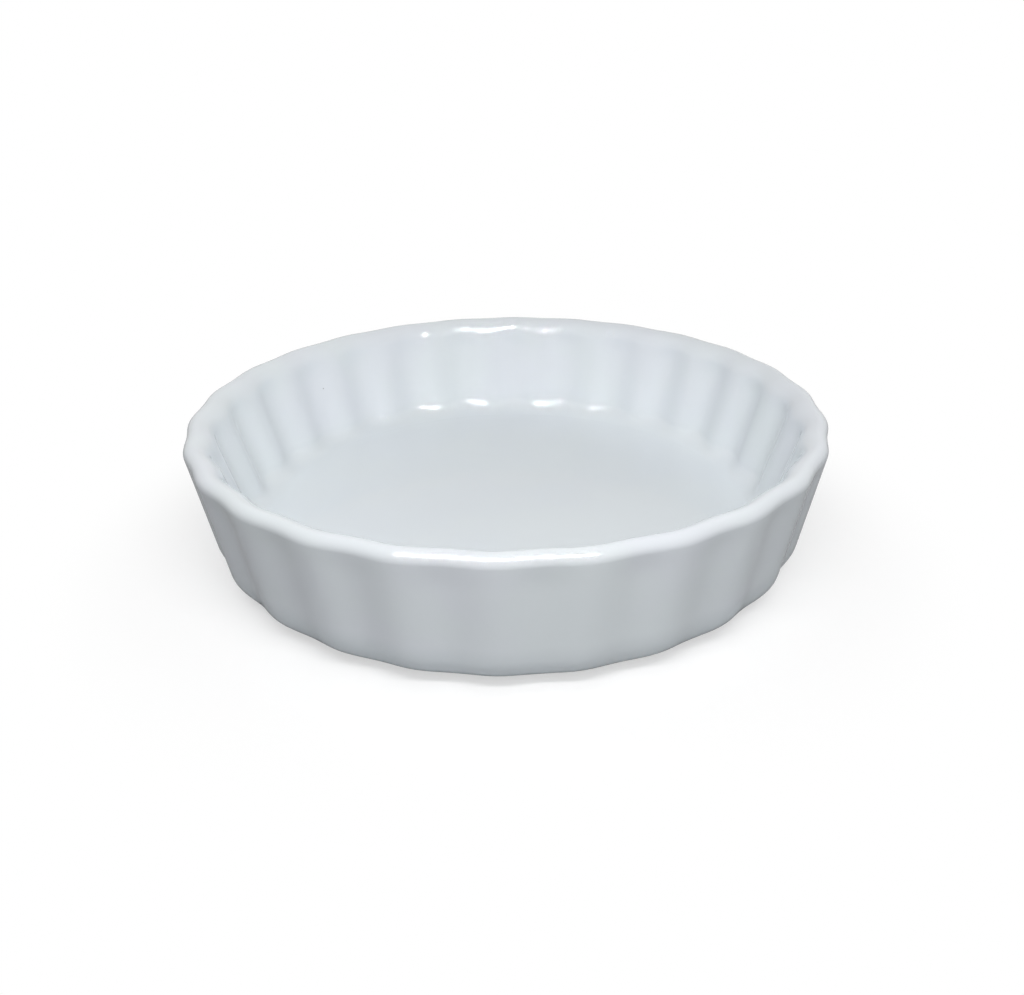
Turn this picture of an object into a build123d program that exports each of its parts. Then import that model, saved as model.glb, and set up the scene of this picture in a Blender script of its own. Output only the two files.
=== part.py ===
from build123d import *
import os
from collections import namedtuple
from math import cos, pi, radians, sin, tan

# A round quiche dish of white porcelain with a fluted wall.
# Lengths are millimetres. The origin is the centre of the standing plane and +Z is up.
# A glaze coat covers the fired body everywhere but the standing face of its foot ring.

# Whole dish, with its glaze, over the outward lobes of the rim
outside_diameter = 127.0
height = 28.0

# Wall: its two sides lean outwards by different angles. Its flutes are cut in from the outside
# between the lobes, and from the inside between the ridges, and fade towards the base and the floor
outer_lean = radians(10.5)
inner_lean = radians(16)
outer_flute_depth = 0.9
inner_flute_depth = 1.4
base_rounding = 7.5
flute_count = 26

# Rim: a tight rounding from the outside over the crest, then a broad one down the inside,
# with shallow flutes that deepen from the crest down
rim_outer_rounding = 1.8
rim_inner_rounding = 5.0
rim_crest_turn = radians(110)
rim_flute_depth = 0.5
flute_blend_height = 6.0

# Floor
floor_level = 6.0
floor_corner_radius = 4.0

# Foot ring, bare on its standing face, round a shallow recess
foot_ring_height = 0.7
foot_ring_width = 2.4
foot_flank_run = 0.9
foot_edge_bevel = 0.15
recess_depth = 1.1
recess_flank_run = 1.4

# Glaze coat: it stops a little above the standing face
glaze_thickness = 0.3
glaze_stop_level = 0.3

# Samples for the curves
points_per_flute = 8
sections_per_rounding = 9
sections_per_blend = 7

# Centres of the rim's two roundings, which meet at the crest turn, in the upright plane
# through the axis
outer_centre_radius = outside_diameter / 2 - rim_outer_rounding - rim_flute_depth / 2
outer_centre_level = height - rim_outer_rounding
inner_centre_radius = outer_centre_radius + (rim_outer_rounding - rim_inner_rounding) * cos(rim_crest_turn)
inner_centre_level = outer_centre_level + (rim_outer_rounding - rim_inner_rounding) * sin(rim_crest_turn)
crest_level = outer_centre_level + rim_outer_rounding * sin(rim_crest_turn)

# A ring of the skin: its radius and level at half the flutes' depth, that depth,
# and the outward normal of the skin there, in the upright plane through the axis
Section = namedtuple("Section", "radius level depth out up")


def ring(section, inset):
    """The closed curve of a section, moved into the material by the inset."""
    point_count = flute_count * points_per_flute
    radius = section.radius - section.out * inset
    level = section.level - section.up * inset
    points = []
    for index in range(point_count):
        turn = 2 * pi * index / point_count
        reach = radius + section.depth / 2 * cos(flute_count * turn)
        points.append((reach * sin(turn), -reach * cos(turn), level))
    steps = [index / point_count for index in range(point_count + 1)]
    return Wire([Edge.make_spline(points, periodic=True, parameters=steps)])


def strip(sections, inset, straight=False):
    """The faces of the skin through neighbouring sections."""
    rings = [ring(section, inset) for section in sections]
    return list(Shell.make_loft(rings, ruled=straight).faces())


def disc(section, inset):
    """The flat face inside a ring."""
    return Face(ring(section, inset))


def eased(share):
    """A smooth step from zero to one, level beyond both ends."""
    share = min(max(share, 0), 1)
    return share * share * (3 - 2 * share)


def between(start, end, share):
    """The value at a share of the way from start to end."""
    return start + (end - start) * share


def shares(count):
    """Even shares from zero to one."""
    return [index / (count - 1) for index in range(count)]


def fluted(radius, level, share, side, turn):
    """The section with a share of its side's whole flute depth, sunk from the lobes or the ridges.

    The side is plus one for the outside and minus one for the inside, and the turn is the
    direction of the skin's outward normal, up from level.
    """
    depth = share * (outer_flute_depth if side > 0 else inner_flute_depth)
    sunk_radius = radius - side * (depth - rim_flute_depth) / 2
    return Section(sunk_radius, level, depth, cos(turn), sin(turn))


def unsunk_radius(section, side):
    """The radius that a section was made with."""
    return section.radius + side * (section.depth - rim_flute_depth) / 2


def wall_section(radius, level, side, turn):
    """The section of the rim or the wall, whose flutes deepen from the crest down."""
    rim_share = rim_flute_depth / (outer_flute_depth if side > 0 else inner_flute_depth)
    share = between(rim_share, 1, eased((crest_level - level) / flute_blend_height))
    return fluted(radius, level, share, side, turn)


def rounding_sections(centre_radius, centre_level, radius, start, end, side):
    """Sections of one of the rim's roundings."""
    sections = []
    for share in shares(sections_per_rounding):
        turn = between(start, end, share)
        place = (centre_radius + radius * cos(turn), centre_level + radius * sin(turn))
        sections.append(wall_section(*place, side, turn))
    return sections


def blend_sections(top, side, lean):
    """Sections down one side of the wall, from the rim's rounding to the full depth of the flutes."""
    turn = -lean if side > 0 else pi - lean
    sections = []
    for share in shares(sections_per_blend):
        drop = flute_blend_height * share
        radius = unsunk_radius(top, side) - drop * tan(lean)
        sections.append(wall_section(radius, top.level - drop, side, turn))
    return sections


def corner_sections(top, side, lean, corner_radius, base_level):
    """Sections of the arc between a level base and one side of the wall, from the base upwards."""
    centre_level = base_level + corner_radius
    line_radius = unsunk_radius(top, side) - (top.level - centre_level) * tan(lean)
    centre_radius = line_radius - corner_radius / cos(lean)
    sections = []
    for share in shares(sections_per_rounding):
        turn = between(-pi / 2, -lean, share)
        radius = centre_radius + corner_radius * cos(turn)
        level = centre_level + corner_radius * sin(turn)
        sections.append(fluted(radius, level, eased(share), side, turn if side > 0 else turn + pi))
    return sections


outer_rounding = rounding_sections(
    outer_centre_radius, outer_centre_level, rim_outer_rounding, -outer_lean, rim_crest_turn, 1
)
inner_rounding = rounding_sections(
    inner_centre_radius, inner_centre_level, rim_inner_rounding, rim_crest_turn, pi - inner_lean, -1
)
outer_blend = blend_sections(outer_rounding[0], 1, outer_lean)
inner_blend = blend_sections(inner_rounding[-1], -1, inner_lean)
outer_corner = corner_sections(outer_blend[0], 1, outer_lean, base_rounding, foot_ring_height)
inner_corner = corner_sections(inner_blend[0], -1, inner_lean, floor_corner_radius, floor_level)

# The foot ring stands inside the lowest circle of the base rounding
foot_rim = outer_corner[0]
foot_outer_radius = foot_rim.radius - foot_flank_run
foot_inner_radius = foot_outer_radius - foot_ring_width
standing_edge = Section(foot_outer_radius - foot_edge_bevel, 0, 0, 0, 0)
glaze_edge = Section(foot_outer_radius + glaze_thickness, glaze_stop_level, 0, 1, 0)


def skin(inset):
    """Every face from the glaze edge on the foot, over the rim, to the middle of the floor."""
    faces = strip([glaze_edge, foot_rim], inset, straight=True)
    faces += strip(outer_corner, inset)
    faces += strip([outer_corner[-1], outer_blend[-1]], inset, straight=True)
    faces += strip(outer_blend, inset)
    faces += strip(outer_rounding, inset)
    faces += strip(inner_rounding, inset)
    faces += strip(inner_blend, inset)
    faces += strip([inner_blend[-1], inner_corner[-1]], inset, straight=True)
    faces += strip(inner_corner, inset)
    faces.append(disc(inner_corner[0], inset))
    return faces


def turned(points):
    """The solid that an outline of radius and level makes round the axis."""
    outline = Polyline(*[(radius, 0, level) for radius, level in points], close=True)
    return Solid.revolve(Face(Wire(outline.edges())), 360, Axis.Z)


def make_body():
    """The fired porcelain: everything under the glaze, and the bare foot ring."""
    faces = skin(glaze_thickness)
    bare_edge = glaze_edge._replace(out=0, radius=foot_outer_radius)
    faces += strip([standing_edge, bare_edge], 0, straight=True)
    faces.append(disc(standing_edge, 0))
    blank = Solid(Shell(faces))
    hollow = turned([
        (0, 0),
        (foot_inner_radius + foot_edge_bevel, 0),
        (foot_inner_radius, glaze_stop_level),
        (foot_inner_radius - recess_flank_run, recess_depth + glaze_thickness),
        (0, recess_depth + glaze_thickness),
    ])
    return blank - hollow


def make_glaze_coat():
    """The fused glass over the outside, the rim and the inside."""
    faces = skin(0) + skin(glaze_thickness)
    faces.append(Face(ring(glaze_edge, 0), [ring(glaze_edge, glaze_thickness)]))
    return Solid(Shell(faces))


def make_underside_glaze():
    """The fused glass in the recess inside the foot ring."""
    return turned([
        (0, recess_depth),
        (foot_inner_radius - recess_flank_run - glaze_thickness, recess_depth),
        (foot_inner_radius - glaze_thickness, glaze_stop_level),
        (foot_inner_radius, glaze_stop_level),
        (foot_inner_radius - recess_flank_run, recess_depth + glaze_thickness),
        (0, recess_depth + glaze_thickness),
    ])


os.makedirs("parts", exist_ok=True)
nodes = {
    "porcelain_body": make_body(),
    "glaze_coat": make_glaze_coat(),
    "underside_glaze": make_underside_glaze(),
}
for name, piece in nodes.items():
    export_step(piece, f"parts/{name}.step")
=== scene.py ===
from collections import namedtuple
from math import cos, pi, radians, sin, tan

import bpy
from mathutils import Matrix, Vector


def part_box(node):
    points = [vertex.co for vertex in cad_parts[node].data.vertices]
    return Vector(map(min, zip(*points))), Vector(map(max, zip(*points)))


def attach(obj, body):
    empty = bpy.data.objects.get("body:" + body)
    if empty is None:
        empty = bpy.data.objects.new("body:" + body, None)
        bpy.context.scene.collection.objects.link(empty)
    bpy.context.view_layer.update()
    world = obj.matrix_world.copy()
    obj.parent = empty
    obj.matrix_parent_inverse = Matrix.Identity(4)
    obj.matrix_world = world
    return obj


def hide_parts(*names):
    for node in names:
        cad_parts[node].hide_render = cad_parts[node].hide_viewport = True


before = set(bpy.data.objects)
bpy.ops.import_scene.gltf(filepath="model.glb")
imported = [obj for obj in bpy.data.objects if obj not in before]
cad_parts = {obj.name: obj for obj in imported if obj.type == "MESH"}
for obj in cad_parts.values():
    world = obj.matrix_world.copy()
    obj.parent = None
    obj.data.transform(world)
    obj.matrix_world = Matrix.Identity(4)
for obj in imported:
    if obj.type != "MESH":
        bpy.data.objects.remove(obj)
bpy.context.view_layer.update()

# A round quiche dish of white glazed porcelain. Lengths are metres, in the frame of the CAD model.
MM = 0.001

coat_low, coat_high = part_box("glaze_coat")

# Whole dish, from the frame
outside_radius = coat_high.y
height = coat_high.z
glaze_stop_level = coat_low.z

# Wall: its two sides lean by different angles, and its flutes fade towards the base and the floor
flute_count = 26
outer_lean = radians(10.5)
inner_lean = radians(16)
outer_flute_depth = 0.9 * MM
inner_flute_depth = 1.4 * MM
base_rounding = 7.5 * MM
floor_level = 6.0 * MM
floor_corner_radius = 4.0 * MM

# Rim: a tight rounding over the crest, then a broad one down the inside, with shallow flutes
# that deepen from the crest down
rim_outer_rounding = 1.8 * MM
rim_inner_rounding = 5.0 * MM
rim_crest_turn = radians(110)
rim_flute_depth = 0.5 * MM
flute_blend_height = 6.0 * MM

# Foot and glaze
foot_ring_height = 0.7 * MM
foot_flank_run = 0.9 * MM
glaze_thickness = 0.3 * MM

# Mesh fineness
points_per_flute = 12
rings_per_rounding = 16
wall_rings = 20
floor_rings_per_step = 6
floor_steps = 4
sharp_angle = radians(50)

# Centres of the rim's two roundings, which meet at the crest
rim_centre = (outside_radius - rim_outer_rounding - rim_flute_depth / 2, height - rim_outer_rounding)
inner_centre = (
    rim_centre[0] + (rim_outer_rounding - rim_inner_rounding) * cos(rim_crest_turn),
    rim_centre[1] + (rim_outer_rounding - rim_inner_rounding) * sin(rim_crest_turn),
)
crest_level = rim_centre[1] + rim_outer_rounding * sin(rim_crest_turn)

# A ring of the skin: its mean radius and level, its flute depth, and the outward normal there
Section = namedtuple("Section", "radius level depth out up")


def between(start, end, share):
    """The value at a share of the way from start to end."""
    return start + (end - start) * share


def eased(share):
    """A smooth step from zero to one."""
    share = min(max(share, 0.0), 1.0)
    return share * share * (3 - 2 * share)


def shares(count):
    """Even shares from zero to one."""
    return [index / (count - 1) for index in range(count)]


def fluted(radius, level, share, side, turn):
    """A section with a share of its side's whole flute depth, cut in from the lobes or the ridges.

    The side is plus one for the outside and minus one for the inside, and the turn is the
    direction of the skin's outward normal, up from level.
    """
    depth = share * (outer_flute_depth if side > 0 else inner_flute_depth)
    return Section(radius - side * (depth - rim_flute_depth) / 2, level, depth, cos(turn), sin(turn))


def wall_section(radius, level, side, turn):
    """A section of the rim or the wall, whose flutes deepen from the crest down."""
    least = rim_flute_depth / (outer_flute_depth if side > 0 else inner_flute_depth)
    share = between(least, 1, eased((crest_level - level) / flute_blend_height))
    return fluted(radius, level, share, side, turn)


def rounding_sections(centre, radius, start, end, side):
    """One of the rim's roundings."""
    turns = [between(start, end, share) for share in shares(rings_per_rounding)]
    return [wall_section(centre[0] + radius * cos(t), centre[1] + radius * sin(t), side, t) for t in turns]


def corner_sections(top, side, lean, corner_radius, base_level):
    """The arc between a level base and one side of the wall, from the base upwards."""
    centre_level = base_level + corner_radius
    line_radius = top.radius + side * (top.depth - rim_flute_depth) / 2
    centre_radius = line_radius - (top.level - centre_level) * tan(lean) - corner_radius / cos(lean)
    sections = []
    for share in shares(rings_per_rounding):
        turn = between(-pi / 2, -lean, share)
        radius = centre_radius + corner_radius * cos(turn)
        level = centre_level + corner_radius * sin(turn)
        sections.append(fluted(radius, level, eased(share), side, turn if side > 0 else turn + pi))
    return sections


def straight_sections(top, bottom, side, lean):
    """Down one side of the wall, from the rim's rounding to the corner's end."""
    line_radius = top.radius + side * (top.depth - rim_flute_depth) / 2
    turn = -lean if side > 0 else pi - lean
    sections = []
    for share in shares(wall_rings)[1:-1]:
        level = between(top.level, bottom.level, share)
        sections.append(wall_section(line_radius - (top.level - level) * tan(lean), level, side, turn))
    return sections


def skin_sections():
    """From the glaze's edge on the foot, up the outside, over the rim and down to the floor's edge."""
    outer = rounding_sections(rim_centre, rim_outer_rounding, -outer_lean, rim_crest_turn, 1)
    inner = rounding_sections(inner_centre, rim_inner_rounding, rim_crest_turn, pi - inner_lean, -1)
    outer_corner = corner_sections(outer[0], 1, outer_lean, base_rounding, foot_ring_height)
    inner_corner = corner_sections(inner[-1], -1, inner_lean, floor_corner_radius, floor_level)
    outside = straight_sections(outer[0], outer_corner[-1], 1, outer_lean)
    inside = straight_sections(inner[-1], inner_corner[-1], -1, inner_lean)
    foot = outer_corner[0]
    edge = Section(foot.radius - foot_flank_run + glaze_thickness, glaze_stop_level, 0, 1, 0)
    return [edge] + outer_corner + outside[::-1] + outer[:-1] + inner + inside + inner_corner[::-1]


def ring_points(section, inset, count):
    """The points of one ring, moved into the material by the inset. A lobe is centred on -Y."""
    radius = section.radius - section.out * inset
    level = section.level - section.up * inset
    points = []
    for index in range(count):
        turn = 2 * pi * index / count
        reach = radius + section.depth / 2 * cos(flute_count * turn)
        points.append((reach * sin(turn), -reach * cos(turn), level))
    return points


def floor_sections(edge):
    """Rings over the flat floor, with half as many points after each step towards the middle."""
    rings = []
    for step in range(floor_steps):
        outer = edge.radius * 0.5 ** step
        inner = outer / 2
        for index in range(floor_rings_per_step):
            radius = between(outer, inner, (index + 1) / floor_rings_per_step)
            rings.append((edge._replace(radius=radius, depth=0), 0.5 ** step))
    return rings


class Skin:
    """Vertices and faces of a closed mesh, built ring by ring."""

    def __init__(self):
        self.vertices = []
        self.faces = []

    def add_ring(self, points):
        first = len(self.vertices)
        self.vertices += points
        return list(range(first, first + len(points)))

    def join(self, a, b):
        """Faces between two rings, where the second has as many points or half as many."""
        if len(b) * 2 == len(a):
            for index in range(len(b)):
                after = (index + 1) % len(b)
                left, middle, right = a[2 * index], a[2 * index + 1], a[(2 * index + 2) % len(a)]
                self.faces.append((left, middle, b[index]))
                self.faces.append((middle, b[after], b[index]))
                self.faces.append((middle, right, b[after]))
            return
        for index in range(len(a)):
            after = (index + 1) % len(a)
            self.faces.append((a[index], a[after], b[after], b[index]))

    def cap(self, a):
        self.faces.append(tuple(a))


def coat_mesh():
    """The glaze as a closed coat: its outer skin and its inner one, joined at the foot."""
    count = flute_count * points_per_flute
    sections = skin_sections()
    skin = Skin()
    edges = []
    for inset, order in ((0, 1), (glaze_thickness, -1)):
        rings = [skin.add_ring(ring_points(section, inset, count)) for section in sections]
        level_rings = floor_sections(sections[-1])
        rings += [skin.add_ring(ring_points(s, inset, int(count * share))) for s, share in level_rings]
        pairs = list(zip(rings, rings[1:]))
        first = len(skin.faces)
        for a, b in pairs:
            skin.join(a, b)
        skin.cap(rings[-1])
        if order < 0:
            skin.faces[first:] = [face[::-1] for face in skin.faces[first:]]
        edges.append(rings[0])
    skin.join(edges[1], edges[0])
    mesh = bpy.data.meshes.new("glaze_skin")
    mesh.from_pydata(skin.vertices, [], skin.faces)
    mesh.validate()
    mesh.polygons.foreach_set("use_smooth", [True] * len(mesh.polygons))
    mesh.set_sharp_from_angle(angle=sharp_angle)
    mesh.update()
    return mesh


def add_object(name, data):
    item = bpy.data.objects.new(name, data)
    bpy.context.scene.collection.objects.link(item)
    return item


# Materials. Each noise is its scale per metre and its detail, and each span is the part of it that is
# stretched to run from zero to one

glaze_ior = 1.5
glaze_tones = (0.785, 0.818, 0.862, 1), (0.785, 0.832, 0.855, 1)
cloud_noise = 45.0, 3.0
cloud_span = 0.35, 0.65
# Darker tones for the glaze low down, and the levels over which they fade out upwards
low_down_tones = (0.72, 0.765, 0.80, 1), (0.73, 0.775, 0.80, 1)
low_down_levels = 6.2 * MM, 10 * MM
glaze_roughness = 0.015, 0.025
gloss_noise = 120.0, 2.0
gloss_span = 0.3, 0.7
peel_noise = 300.0, 1.0
peel_depth = 0.004 * MM

# Pinholes: one at most in each cell, in a share of the cells, with an edge that fades over distances
# in cells
pinhole_cells = 110.0
pinhole_share = 0.05
pinhole_share_fade = 0.001
pinhole_edge = 0.012, 0.03
pinhole_tone = (0.16, 0.15, 0.14, 1)

bisque_ior = 1.45
bisque_tones = (0.72, 0.70, 0.66, 1), (0.56, 0.55, 0.53, 1)
bisque_roughness = 0.65, 0.8
wear_noise = 180.0, 4.0
wear_span = 0.45, 0.75
grain_noise = 2500.0, 3.0
grain_depth = 0.02 * MM


def new_material(name):
    """A material with no nodes yet, its nodes and its links."""
    material = bpy.data.materials.new(name)
    material.use_nodes = True
    nodes = material.node_tree.nodes
    nodes.clear()
    return material, nodes, material.node_tree.links


def add_node(nodes, kind, **values):
    """A shader node with values set on its inputs by name."""
    node = nodes.new(kind)
    for name, value in values.items():
        node.inputs[name.replace("_", " ")].default_value = value
    return node


def noise(nodes, links, place, scale, detail):
    """Fractal noise from zero to one over a place in metres."""
    node = add_node(nodes, "ShaderNodeTexNoise", Scale=scale, Detail=detail)
    links.new(place, node.inputs["Vector"])
    return node.outputs["Fac"]


def ranged(nodes, links, value, low, high, to_low, to_high):
    """A value from one range eased into another."""
    node = nodes.new("ShaderNodeMapRange")
    node.interpolation_type = "SMOOTHSTEP"
    for index, number in enumerate((low, high, to_low, to_high)):
        node.inputs[index + 1].default_value = number
    links.new(value, node.inputs[0])
    return node.outputs[0]


def blended(nodes, links, share, a, b):
    """A colour between two, where either may be a socket."""
    node = nodes.new("ShaderNodeMix")
    node.data_type = "RGBA"
    links.new(share, node.inputs["Factor"])
    for socket, colour in ((node.inputs[6], a), (node.inputs[7], b)):
        if isinstance(colour, tuple):
            socket.default_value = colour
        else:
            links.new(colour, socket)
    return node.outputs[2]


def bumped(nodes, links, value, depth, shader):
    """Raises the shader's surface by a depth times the value."""
    node = add_node(nodes, "ShaderNodeBump", Distance=depth)
    links.new(value, node.inputs["Height"])
    links.new(node.outputs[0], shader.inputs["Normal"])


def glaze_material():
    """Cool white glossy glaze of cloudy tone, darker low down near the floor and the foot, with a hint of
    orange peel and pinholes.
    """
    material, nodes, links = new_material("glaze")
    out = nodes.new("ShaderNodeOutputMaterial")
    shader = add_node(nodes, "ShaderNodeBsdfPrincipled", IOR=glaze_ior)
    place = nodes.new("ShaderNodeTexCoord").outputs["Object"]
    cloud = ranged(nodes, links, noise(nodes, links, place, *cloud_noise), *cloud_span, 0.0, 1.0)
    split_place = nodes.new("ShaderNodeSeparateXYZ")
    links.new(place, split_place.inputs[0])
    # Share of the darker tones: full below the lower level, fading to none at the upper one
    low_down_share = ranged(nodes, links, split_place.outputs["Z"], *low_down_levels, 1.0, 0.0)
    thin = blended(nodes, links, cloud, *glaze_tones)
    white = blended(nodes, links, low_down_share, thin, blended(nodes, links, cloud, *low_down_tones))
    cells = add_node(nodes, "ShaderNodeTexVoronoi", Scale=pinhole_cells)
    links.new(place, cells.inputs["Vector"])
    hole = ranged(nodes, links, cells.outputs["Distance"], *pinhole_edge, 1.0, 0.0)
    split = nodes.new("ShaderNodeSeparateColor")
    links.new(cells.outputs["Color"], split.inputs[0])
    fade = pinhole_share, pinhole_share + pinhole_share_fade
    chosen = ranged(nodes, links, split.outputs[0], *fade, 1.0, 0.0)
    spot = nodes.new("ShaderNodeMath")
    spot.operation = "MULTIPLY"
    links.new(hole, spot.inputs[0])
    links.new(chosen, spot.inputs[1])
    colour = blended(nodes, links, spot.outputs[0], white, pinhole_tone)
    links.new(colour, shader.inputs["Base Color"])
    gloss = ranged(nodes, links, noise(nodes, links, place, *gloss_noise), *gloss_span, *glaze_roughness)
    links.new(gloss, shader.inputs["Roughness"])
    bumped(nodes, links, noise(nodes, links, place, *peel_noise), peel_depth, shader)
    links.new(shader.outputs[0], out.inputs[0])
    return material


def bisque_material():
    """Bare fired porcelain: matt, warm white, with fine grain and grey wear."""
    material, nodes, links = new_material("bisque")
    out = nodes.new("ShaderNodeOutputMaterial")
    shader = add_node(nodes, "ShaderNodeBsdfPrincipled", IOR=bisque_ior)
    place = nodes.new("ShaderNodeTexCoord").outputs["Object"]
    wear = ranged(nodes, links, noise(nodes, links, place, *wear_noise), *wear_span, 0.0, 1.0)
    links.new(blended(nodes, links, wear, *bisque_tones), shader.inputs["Base Color"])
    links.new(ranged(nodes, links, wear, 0.0, 1.0, *bisque_roughness), shader.inputs["Roughness"])
    bumped(nodes, links, noise(nodes, links, place, *grain_noise), grain_depth, shader)
    links.new(shader.outputs[0], out.inputs[0])
    return material


def paint(item, material):
    item.data.materials.clear()
    item.data.materials.append(material)


glaze = glaze_material()
coat = add_object("glazed_skin", coat_mesh())
paint(coat, glaze)
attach(coat, "root")
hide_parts("glaze_coat")
paint(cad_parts["porcelain_body"], bisque_material())
paint(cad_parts["underside_glaze"], glaze)


# Stage

shadow_share = 0.45
shadow_fade = 0.052, 0.095
room_glow = 0.8
table_ior = 1.5
table_tone = (0.43, 0.44, 0.45, 1)
table_roughness = 0.03
floor_half = 4.0


def floor_material():
    """A white floor with the dish's soft shadow near it, and a pale glossy table for other rays."""
    material, nodes, links = new_material("pale_floor")
    out = nodes.new("ShaderNodeOutputMaterial")
    path = nodes.new("ShaderNodeLightPath")
    seen = nodes.new("ShaderNodeMixShader")
    shown = nodes.new("ShaderNodeMixShader")
    white = add_node(nodes, "ShaderNodeEmission", Color=(1, 1, 1, 1), Strength=1.0)
    lit = add_node(nodes, "ShaderNodeBsdfDiffuse", Color=(1, 1, 1, 1))
    table = add_node(
        nodes, "ShaderNodeBsdfPrincipled", Base_Color=table_tone, Roughness=table_roughness, IOR=table_ior
    )
    far = nodes.new("ShaderNodeVectorMath")
    far.operation = "LENGTH"
    links.new(nodes.new("ShaderNodeNewGeometry").outputs["Position"], far.inputs[0])
    fade = ranged(nodes, links, far.outputs["Value"], *shadow_fade, shadow_share, 0.0)
    links.new(fade, shown.inputs[0])
    links.new(white.outputs[0], shown.inputs[1])
    links.new(lit.outputs[0], shown.inputs[2])
    links.new(path.outputs["Is Camera Ray"], seen.inputs[0])
    links.new(table.outputs[0], seen.inputs[1])
    links.new(shown.outputs[0], seen.inputs[2])
    links.new(seen.outputs[0], out.inputs[0])
    return material


def add_plane(name, half):
    """A level square through the origin, by half its side."""
    mesh = bpy.data.meshes.new(name)
    corners = [(-half, -half, 0), (half, -half, 0), (half, half, 0), (-half, half, 0)]
    mesh.from_pydata(corners, [], [(0, 1, 2, 3)])
    return add_object(name, mesh)


floor = add_plane("floor", floor_half)
paint(floor, floor_material())

world = bpy.data.worlds.new("studio")
bpy.context.scene.world = world
world.use_nodes = True
world.cycles_visibility.diffuse = False
nodes = world.node_tree.nodes
nodes.clear()
out = nodes.new("ShaderNodeOutputWorld")
path = nodes.new("ShaderNodeLightPath")
background = add_node(nodes, "ShaderNodeBackground", Color=(1, 1, 1, 1), Strength=room_glow)
backdrop = add_node(nodes, "ShaderNodeBackground", Color=(1, 1, 1, 1), Strength=1.0)
seen = nodes.new("ShaderNodeMath")
seen.operation = "MAXIMUM"
mix = nodes.new("ShaderNodeMixShader")
links = world.node_tree.links
links.new(path.outputs["Is Camera Ray"], seen.inputs[0])
links.new(path.outputs["Is Transmission Ray"], seen.inputs[1])
links.new(seen.outputs[0], mix.inputs[0])
links.new(background.outputs[0], mix.inputs[1])
links.new(backdrop.outputs[0], mix.inputs[2])
links.new(mix.outputs[0], out.inputs[0])


lamp_aim = Vector((0, 0, 15 * MM))


def add_softbox(name, place, width, depth, power):
    """A soft lamp aimed at the dish, which the glaze's gloss doesn't show."""
    data = bpy.data.lights.new(name, "AREA")
    data.shape = "RECTANGLE"
    data.size = width
    data.size_y = depth
    data.energy = power
    item = add_object(name, data)
    item.location = place
    item.rotation_euler = (lamp_aim - item.location).to_track_quat("-Z", "Y").to_euler()
    item.visible_camera = False
    item.visible_glossy = False


# Square panels round the dish: azimuth from the camera's side, positive to the right, elevation, both
# in degrees, and power in watts
panel_distance = 0.3
panel_size = 0.2
panels = {
    "front_panel": (12, 45, 0.240),
    "right_panel": (80, 45, 0.060),
    "back_right_panel": (135, 15, 0.284),
    "back_left_panel": (-135, 45, 0.140),
}
for name, (azimuth, elevation, power) in panels.items():
    across, up = radians(azimuth), radians(elevation)
    place = Vector((sin(across) * cos(up), -cos(across) * cos(up), sin(up))) * panel_distance
    add_softbox(name, place, panel_size, panel_size, power)

# Strips above the front and the left: place, width, depth and power
strips = {
    "front_strip": ((0.0075, -0.175, 0.245), 0.265, 0.03, 0.459),
    "left_strip": ((-0.15, 0, 0.245), 0.03, 0.265, 0.092),
}
for name, (place, width, depth, power) in strips.items():
    add_softbox(name, place, width, depth, power)

# A row of small bright diodes above the front of the dish, which only the glaze's gloss shows
led_count = 49
led_half = 2.2 * MM
led_ends = Vector((-0.125, -0.18, 0.245)), Vector((0.140, -0.18, 0.245))
led_strength = 1200.0
vertices = []
faces = []
for index in range(led_count):
    middle = led_ends[0].lerp(led_ends[1], index / (led_count - 1))
    first = len(vertices)
    for x, y in ((-1, -1), (-1, 1), (1, 1), (1, -1)):
        vertices.append(middle + Vector((x * led_half, y * led_half, 0)))
    faces.append((first, first + 1, first + 2, first + 3))
mesh = bpy.data.meshes.new("diode_row")
mesh.from_pydata(vertices, [], faces)
diodes = add_object("diode_row", mesh)
material, nodes, links = new_material("diode")
out = nodes.new("ShaderNodeOutputMaterial")
emission = add_node(nodes, "ShaderNodeEmission", Color=(1, 1, 1, 1), Strength=led_strength)
links.new(emission.outputs[0], out.inputs[0])
paint(diodes, material)
diodes.visible_camera = False
diodes.visible_diffuse = False
diodes.visible_shadow = False


# Camera, as the photograph was taken
photo_width = 1024
focal_pixels = 997.6
camera_distance = 209.0 * MM
camera_elevation = radians(24.419)
camera_azimuth = radians(2.2)
camera_target = Vector((0, 0, 14.5 * MM))
camera_yaw = radians(1.93)
camera_pitch = radians(26.371)
camera_roll = radians(-0.794)
sensor_width = 36.0
clip_start = 10 * MM

camera_data = bpy.data.cameras.new("photo_camera")
camera_data.sensor_width = sensor_width
camera_data.lens = focal_pixels / photo_width * sensor_width
camera_data.clip_start = clip_start
camera = add_object("photo_camera", camera_data)
across = cos(camera_elevation)
back = Vector((sin(camera_azimuth) * across, -cos(camera_azimuth) * across, sin(camera_elevation)))
turn = Matrix.Rotation(camera_yaw, 4, "Z") @ Matrix.Rotation(pi / 2 - camera_pitch, 4, "X")
turn = turn @ Matrix.Rotation(camera_roll, 4, "Z")
camera.matrix_world = Matrix.Translation(camera_target + back * camera_distance) @ turn
bpy.context.scene.camera = camera

bpy.context.scene.view_settings.view_transform = "Standard"
